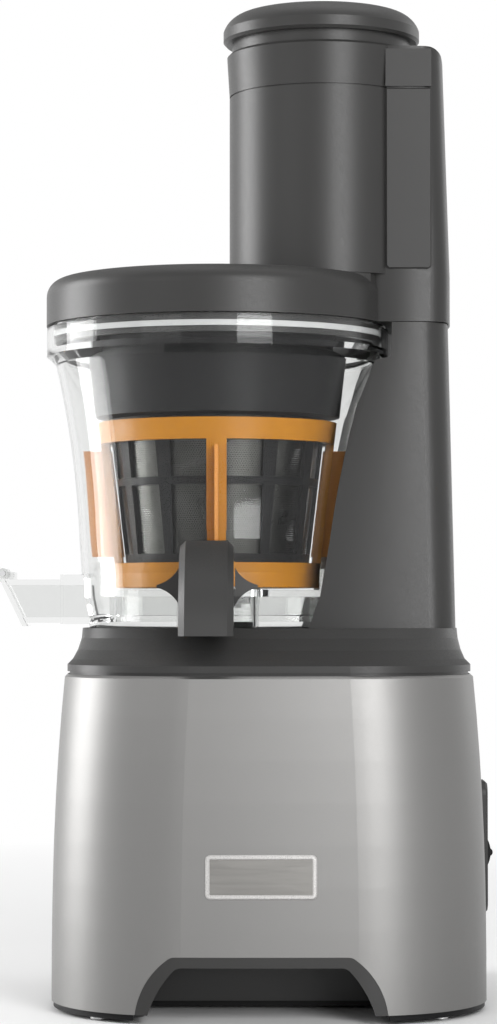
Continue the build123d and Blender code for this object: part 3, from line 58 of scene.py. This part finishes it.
def math_node(tree, operation, first, second=None):
    """A math node fed by sockets or numbers."""
    node = tree.nodes.new("ShaderNodeMath")
    node.operation = operation
    for index, value in enumerate((first, second)):
        if value is None:
            continue
        if isinstance(value, (int, float)):
            node.inputs[index].default_value = value
        else:
            tree.links.new(value, node.inputs[index])
    return node.outputs[0]


def mixed(tree, share, first, second):
    """A mix of two shaders: the first where the share is 0, the second where it is 1."""
    mix = tree.nodes.new("ShaderNodeMixShader")
    tree.links.new(share, mix.inputs["Fac"])
    tree.links.new(first, mix.inputs[1])
    tree.links.new(second, mix.inputs[2])
    return mix.outputs["Shader"]


def noise(tree, scale, detail=3.0, stretch=(1, 1, 1)):
    """A noise texture in object space, in features per metre."""
    coords = tree.nodes.new("ShaderNodeTexCoord")
    mapping = tree.nodes.new("ShaderNodeMapping")
    mapping.inputs["Scale"].default_value = stretch
    texture = tree.nodes.new("ShaderNodeTexNoise")
    texture.inputs["Scale"].default_value = scale
    texture.inputs["Detail"].default_value = detail
    tree.links.new(coords.outputs["Object"], mapping.inputs["Vector"])
    tree.links.new(mapping.outputs["Vector"], texture.inputs["Vector"])
    return texture.outputs["Fac"]


def ramp(tree, socket, low, high, at=(0.3, 0.7)):
    """A two-colour ramp; numbers make greys."""
    node = tree.nodes.new("ShaderNodeValToRGB")
    stops = node.color_ramp.elements
    for stop, place, colour in zip(stops, at, (low, high)):
        stop.position = place
        stop.color = (colour, colour, colour, 1) if isinstance(colour, float) else (*colour, 1)
    tree.links.new(socket, node.inputs["Fac"])
    return node.outputs["Color"]


def bump(tree, shader, height, strength, distance):
    """Feeds a bump map into the shader's normal."""
    node = tree.nodes.new("ShaderNodeBump")
    node.inputs["Strength"].default_value = strength
    node.inputs["Distance"].default_value = distance
    tree.links.new(height, node.inputs["Height"])
    tree.links.new(node.outputs["Normal"], shader.inputs["Normal"])


# ---------------------------------------------------------------- kinds of surface
cloud_scale = 14.0
cloud_detail = 4.0
grain_detail = 2.0

# how far a face's normal points up: below the first it is a wall, past the second a top
wall_lift = 0.35
top_lift = 0.9

haze_scale = 30.0
haze_tint = 0.985
haze_roughness = 0.03
clear_shadow = (0.93, 0.94, 0.94, 1)

strainer_radius = 0.0432
strainer_row_share = 0.866
strainer_dark = (0.06, 0.06, 0.056)
strainer_light = (0.10, 0.10, 0.095)
strainer_cloud_scale = 60.0


def upward(tree, most):
    """From 0 on walls up to the given number on faces that look straight up."""
    geometry = tree.nodes.new("ShaderNodeNewGeometry")
    split = tree.nodes.new("ShaderNodeSeparateXYZ")
    tree.links.new(geometry.outputs["Normal"], split.inputs["Vector"])
    share = tree.nodes.new("ShaderNodeMapRange")
    share.inputs["From Min"].default_value = wall_lift
    share.inputs["From Max"].default_value = top_lift
    share.inputs["To Max"].default_value = most
    tree.links.new(split.outputs["Z"], share.inputs["Value"])
    return share.outputs["Result"]


def surface(
    name,
    colour,
    roughness,
    metallic=0.0,
    spread=0.06,
    grain=900.0,
    depth=0.00003,
    strength=0.25,
    rough_spread=0.06,
    stretch=(1, 1, 1),
    matt_tops=0.0,
    specular=None,
):
    """A finish with fine grain, which is also felt as a bump.

    Colour varies by spread and roughness by rough_spread, grain is in features per metre, and
    matt_tops makes the faces that look up rougher by so much.
    """
    material, tree, shader, _ = new_material(name)
    shader.inputs["Metallic"].default_value = metallic
    if specular is not None:
        shader.inputs["Specular IOR Level"].default_value = specular
    cloud = noise(tree, cloud_scale, cloud_detail, stretch)
    fine = noise(tree, grain, grain_detail, stretch)
    low = tuple(c * (1 - spread) for c in colour)
    high = tuple(min(1.0, c * (1 + spread)) for c in colour)
    tree.links.new(ramp(tree, cloud, low, high), shader.inputs["Base Color"])
    rough = ramp(tree, fine, roughness - rough_spread, roughness + rough_spread)
    if matt_tops:
        rough = math_node(tree, "ADD", rough, upward(tree, matt_tops))
    tree.links.new(rough, shader.inputs["Roughness"])
    bump(tree, shader, fine, strength, depth)
    return material


def clear_plastic(name, tint, roughness, ior):
    """Clear moulded plastic; lamps shine through it on to what is inside."""
    material, tree, shader, output = new_material(name)
    shader.inputs["Transmission Weight"].default_value = 1.0
    shader.inputs["IOR"].default_value = ior
    haze = noise(tree, haze_scale)
    low = tuple(c * haze_tint for c in tint)
    tree.links.new(ramp(tree, haze, low, tint), shader.inputs["Base Color"])
    rough = ramp(tree, haze, roughness, roughness + haze_roughness)
    tree.links.new(rough, shader.inputs["Roughness"])
    path = tree.nodes.new("ShaderNodeLightPath")
    clear = tree.nodes.new("ShaderNodeBsdfTransparent")
    clear.inputs["Color"].default_value = clear_shadow
    either = mixed(
        tree, path.outputs["Is Shadow Ray"], shader.outputs["BSDF"], clear.outputs["BSDF"]
    )
    tree.links.new(either, output.inputs["Surface"])
    return material


def perforated_steel(name, pitch, hole):
    """Thin steel sheet with rows of fine round holes, staggered round the cone.

    pitch is the distance between holes, and hole is a hole's radius as a share of it.
    """
    material, tree, shader, _ = new_material(name)
    shader.inputs["Metallic"].default_value = 1.0
    coords = tree.nodes.new("ShaderNodeTexCoord")
    split = tree.nodes.new("ShaderNodeSeparateXYZ")
    tree.links.new(coords.outputs["Object"], split.inputs["Vector"])
    angle = math_node(tree, "ARCTAN2", split.outputs["Y"], split.outputs["X"])
    across = math_node(tree, "MULTIPLY", angle, strainer_radius / pitch)
    row = math_node(tree, "DIVIDE", split.outputs["Z"], pitch * strainer_row_share)
    half_step = math_node(tree, "MULTIPLY", math_node(tree, "FLOOR", row), 0.5)
    column = math_node(tree, "ADD", across, half_step)
    dx = math_node(tree, "SUBTRACT", math_node(tree, "FRACT", column), 0.5)
    dz = math_node(tree, "SUBTRACT", math_node(tree, "FRACT", row), 0.5)
    dx_squared = math_node(tree, "MULTIPLY", dx, dx)
    dz_squared = math_node(tree, "MULTIPLY", dz, dz)
    reach = math_node(tree, "SQRT", math_node(tree, "ADD", dx_squared, dz_squared))
    solid = math_node(tree, "GREATER_THAN", reach, hole)
    tree.links.new(solid, shader.inputs["Alpha"])
    cloud = noise(tree, strainer_cloud_scale)
    tree.links.new(ramp(tree, cloud, strainer_dark, strainer_light), shader.inputs["Base Color"])
    tree.links.new(ramp(tree, cloud, 0.26, 0.38), shader.inputs["Roughness"])
    return material


# ---------------------------------------------------------------- finishes
rigid_finishes = {
    "satin_silver": dict(
        colour=(0.195, 0.193, 0.189), roughness=0.44, metallic=0.88, spread=0.02,
        grain=2600.0, depth=0.00002, strength=0.3, rough_spread=0.04,
    ),
    "dark_plastic": dict(
        colour=(0.026, 0.0256, 0.025), roughness=0.38, spread=0.05, grain=1500.0,
        matt_tops=0.34, specular=0.32,
    ),
    "black_plastic": dict(
        colour=(0.005, 0.005, 0.0055), roughness=0.45, spread=0.08, grain=1200.0, specular=0.15,
    ),
    "orange_plastic": dict(
        colour=(0.32, 0.125, 0.003), roughness=0.36, spread=0.05, grain=700.0,
        depth=0.00002, strength=0.2, rough_spread=0.05, specular=0.2,
    ),
    "silicone_orange": dict(colour=(0.43, 0.16, 0.015), roughness=0.5, grain=500.0),
    "silicone_grey": dict(colour=(0.36, 0.36, 0.36), roughness=0.55, grain=500.0),
    "silicone_black": dict(colour=(0.03, 0.03, 0.03), roughness=0.6, spread=0.1, grain=500.0),
    "foot_rubber": dict(
        colour=(0.035, 0.035, 0.035), roughness=0.75, spread=0.1, grain=600.0,
        depth=0.0001, strength=0.5,
    ),
    "shaft_steel": dict(
        colour=(0.60, 0.60, 0.60), roughness=0.25, metallic=1.0, spread=0.05,
        grain=1200.0, stretch=(1, 1, 12),
    ),
    "core_steel": dict(
        colour=(0.28, 0.28, 0.30), roughness=0.42, metallic=1.0, spread=0.1,
        grain=300.0, stretch=(1, 1, 40),
    ),
    "screw_steel": dict(colour=(0.55, 0.55, 0.55), roughness=0.30, metallic=1.0, spread=0.08),
    "gear_nylon": dict(colour=(0.80, 0.78, 0.72), roughness=0.42, spread=0.03, grain=600.0),
    "case_alloy": dict(
        colour=(0.62, 0.63, 0.64), roughness=0.48, metallic=1.0, spread=0.08,
        grain=500.0, depth=0.00008, strength=0.4,
    ),
    "pin_steel": dict(colour=(0.72, 0.72, 0.73), roughness=0.15, metallic=1.0, spread=0.03),
    "bronze": dict(
        colour=(0.55, 0.38, 0.18), roughness=0.38, metallic=1.0, spread=0.12, grain=700.0,
    ),
    "board_green": dict(colour=(0.02, 0.16, 0.07), roughness=0.35, spread=0.15, grain=400.0),
    "magnet_nickel": dict(
        colour=(0.66, 0.65, 0.62), roughness=0.2, metallic=1.0, spread=0.04, grain=800.0,
    ),
}
finish = {name: surface(name, **values) for name, values in rigid_finishes.items()}
finish["clear_plastic"] = clear_plastic("clear_plastic", (0.88, 0.885, 0.88), 0.02, 1.26)
finish["mesh_steel"] = perforated_steel("mesh_steel", 0.0011, 0.32)

slots = {part["node"]: part["material_slot"] for part in frame["record"]["subparts"]}
for name, node in nodes.items():
    node.data.materials.clear()
    node.data.materials.append(finish[slots[name]])

# ---------------------------------------------------------------- bare plate on the base
plate_middle = (0.0193, 0.062)
plate_size = (0.047, 0.0186)
plate_corner = 0.0022
plate_corner_steps = 8
plate_sharp_angle = math.radians(25)
# inset from the edge and rise above the housing of each ring, from the outside in
plate_rings = (
    (0.0, -0.0003),
    (0.0, 0.0005),
    (0.0005, 0.0009),
    (0.0015, 0.0009),
    (0.0019, 0.0006),
)
# the field's inner rings, as shares of its outline
plate_fill = (0.8, 0.55, 0.3)

ahead_of_housing = -0.2
front_if_missed = -0.1


def rounded_outline(width, height, radius, steps=plate_corner_steps):
    """Points round a rectangle with rounded corners, about its middle."""
    points = []
    for turn, (side_x, side_z) in enumerate(((1, 1), (-1, 1), (-1, -1), (1, -1))):
        for step in range(steps + 1):
            angle = math.radians(90 * (turn + step / steps))
            x = side_x * (width / 2 - radius) + radius * math.cos(angle)
            z = side_z * (height / 2 - radius) + radius * math.sin(angle)
            points.append((x, z))
    return points


def housing_front(x, z):
    """How far forward the housing's front lies at a point seen from the front."""
    housing = nodes["base_housing"]
    inverse = housing.matrix_world.inverted()
    start = inverse @ Vector((x, ahead_of_housing, z))
    hit, place, _, _ = housing.ray_cast(start, inverse.to_3x3() @ Vector((0, 1, 0)))
    return (housing.matrix_world @ place).y if hit else front_if_missed


def bare_plate(rim_material, field_material):
    """A thin plate with a raised bright rim and a plain field, bent to the housing's front."""
    width, height = plate_size
    rings = [
        (rounded_outline(width - 2 * inset, height - 2 * inset, plate_corner - inset), rise)
        for inset, rise in plate_rings
    ]
    field, field_rise = rings[-1]
    for share in plate_fill:
        rings.append(([(x * share, z * share) for x, z in field], field_rise))
    rings.append(([(0.0, 0.0)], field_rise))
    vertices = []
    for points, rise in rings:
        for x, z in points:
            place_x = plate_middle[0] + x
            place_z = plate_middle[1] + z
            vertices.append((place_x, housing_front(place_x, place_z) - rise, place_z))
    count = len(field)
    faces = []
    for ring in range(len(rings) - 2):
        first = ring * count
        for k in range(count):
            after = (k + 1) % count
            faces.append((first + k, first + after, first + count + after, first + count + k))
    last = (len(rings) - 2) * count
    for k in range(count):
        faces.append((last + k, last + (k + 1) % count, last + count))
    mesh = bpy.data.meshes.new("front_plate")
    mesh.from_pydata(vertices, [], faces)
    mesh.materials.append(rim_material)
    mesh.materials.append(field_material)
    border = (len(plate_rings) - 1) * count
    for polygon in mesh.polygons:
        polygon.material_index = 0 if polygon.index < border else 1
    mesh.shade_smooth()
    mesh.set_sharp_from_angle(angle=plate_sharp_angle)
    plate = bpy.data.objects.new("front_plate", mesh)
    scene.collection.objects.link(plate)
    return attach(plate, "base")


plate_rim = surface(
    "plate_rim", (0.52, 0.51, 0.50), 0.30, metallic=0.9, spread=0.02,
    grain=2600.0, depth=0.00001, strength=0.1,
)
plate_field = surface(
    "plate_field", (0.21, 0.205, 0.195), 0.36, metallic=0.9, spread=0.05,
    depth=0.00001, strength=0.15, stretch=(0.05, 1, 1),
)
bpy.context.view_layer.update()
bare_plate(plate_rim, plate_field)

# ---------------------------------------------------------------- floor and world
floor_size = 12.0
floor_colour = (0.86, 0.86, 0.86)
floor_tint = 0.99
# from the middle, where the floor starts to turn plain white and where it has done so
floor_fade = (0.25, 0.9)
world_light = 0.25
background_white = 1.0


def background_rays(tree):
    """1 for the rays that show the background: from the camera, a reflection or clear plastic."""
    path = tree.nodes.new("ShaderNodeLightPath")
    seen = math_node(
        tree, "MAXIMUM", path.outputs["Is Camera Ray"], path.outputs["Is Glossy Ray"]
    )
    return math_node(tree, "MAXIMUM", seen, path.outputs["Is Transmission Ray"])


def studio_plane(name, size, colour):
    """The pale floor: its shading fades to plain white far from the object."""
    mesh = bpy.data.meshes.new(name)
    half = size / 2
    corners = [(-half, -half, 0), (half, -half, 0), (half, half, 0), (-half, half, 0)]
    mesh.from_pydata(corners, [], [(0, 1, 2, 3)])
    plane = bpy.data.objects.new(name, mesh)
    scene.collection.objects.link(plane)
    material, tree, shader, output = new_material(name)
    shader.inputs["Roughness"].default_value = 0.7
    shader.inputs["Specular IOR Level"].default_value = 0.2
    cloud = noise(tree, 3.0, 2.0)
    low = tuple(c * floor_tint for c in colour)
    tree.links.new(ramp(tree, cloud, low, colour), shader.inputs["Base Color"])
    coords = tree.nodes.new("ShaderNodeTexCoord")
    length = tree.nodes.new("ShaderNodeVectorMath")
    length.operation = "LENGTH"
    tree.links.new(coords.outputs["Object"], length.inputs[0])
    fade = tree.nodes.new("ShaderNodeMapRange")
    fade.inputs["From Min"].default_value, fade.inputs["From Max"].default_value = floor_fade
    tree.links.new(length.outputs["Value"], fade.inputs["Value"])
    seen = math_node(tree, "MULTIPLY", fade.outputs["Result"], background_rays(tree))
    glow = tree.nodes.new("ShaderNodeEmission")
    glow.inputs["Color"].default_value = full_white
    either = mixed(tree, seen, shader.outputs["BSDF"], glow.outputs["Emission"])
    tree.links.new(either, output.inputs["Surface"])
    mesh.materials.append(material)


def studio_world():
    """A plain world that lights the object, and is seen as white."""
    world = bpy.data.worlds.new("studio")
    scene.world = world
    world.use_nodes = True
    sky = world.node_tree
    sky.nodes.clear()
    lights = []
    for strength in (world_light, background_white):
        light = sky.nodes.new("ShaderNodeBackground")
        light.inputs["Color"].default_value = full_white
        light.inputs["Strength"].default_value = strength
        lights.append(light.outputs["Background"])
    output = sky.nodes.new("ShaderNodeOutputWorld")
    sky.links.new(mixed(sky, background_rays(sky), *lights), output.inputs["Surface"])


studio_plane("studio_floor", floor_size, floor_colour)
studio_world()

# ---------------------------------------------------------------- lamps and camera
object_middle = (0.02, 0, 0.22)
# name, place, target, width and height, watts
lamps = (
    ("key", (0.55, -1.2, 0.55), object_middle, (0.55, 1.0), 15),
    ("strip_left", (-1.2, 0.28, 0.45), object_middle, (0.65, 1.0), 19),
    ("fill_left", (-0.9, -1.2, 0.8), object_middle, (0.8, 0.8), 2),
    ("top", (0.1, 0.2, 1.5), (0.02, 0, 0.2), (1.0, 0.8), 7),
    ("back_right", (1.0, 0.9, 0.6), (0, 0, 0.25), (0.4, 1.0), 1.2),
)

picture_height = 1024
focal_pixels = 2974
sensor_height = 24.0
camera_place = (0.014, -1.35, 0.174)
camera_tilt = 1.887


def area_light(name, place, target, size, power):
    """A soft rectangular lamp aimed at a point."""
    light = bpy.data.lights.new(name, "AREA")
    light.shape = "RECTANGLE"
    light.size, light.size_y = size
    light.energy = power
    lamp = bpy.data.objects.new(name, light)
    scene.collection.objects.link(lamp)
    lamp.location = place
    direction = Vector(target) - Vector(place)
    lamp.rotation_euler = direction.to_track_quat("-Z", "Y").to_euler()


for lamp_values in lamps:
    area_light(*lamp_values)

camera_data = bpy.data.cameras.new("camera")
camera_data.sensor_fit = "VERTICAL"
camera_data.sensor_height = sensor_height
camera_data.lens = focal_pixels / picture_height * sensor_height
camera_data.clip_start = 0.05
camera_data.clip_end = 30
camera = bpy.data.objects.new("camera", camera_data)
scene.collection.objects.link(camera)
camera.location = camera_place
camera.rotation_euler = (math.radians(90 + camera_tilt), 0, 0)
scene.camera = camera

scene.view_settings.view_transform = "Standard"
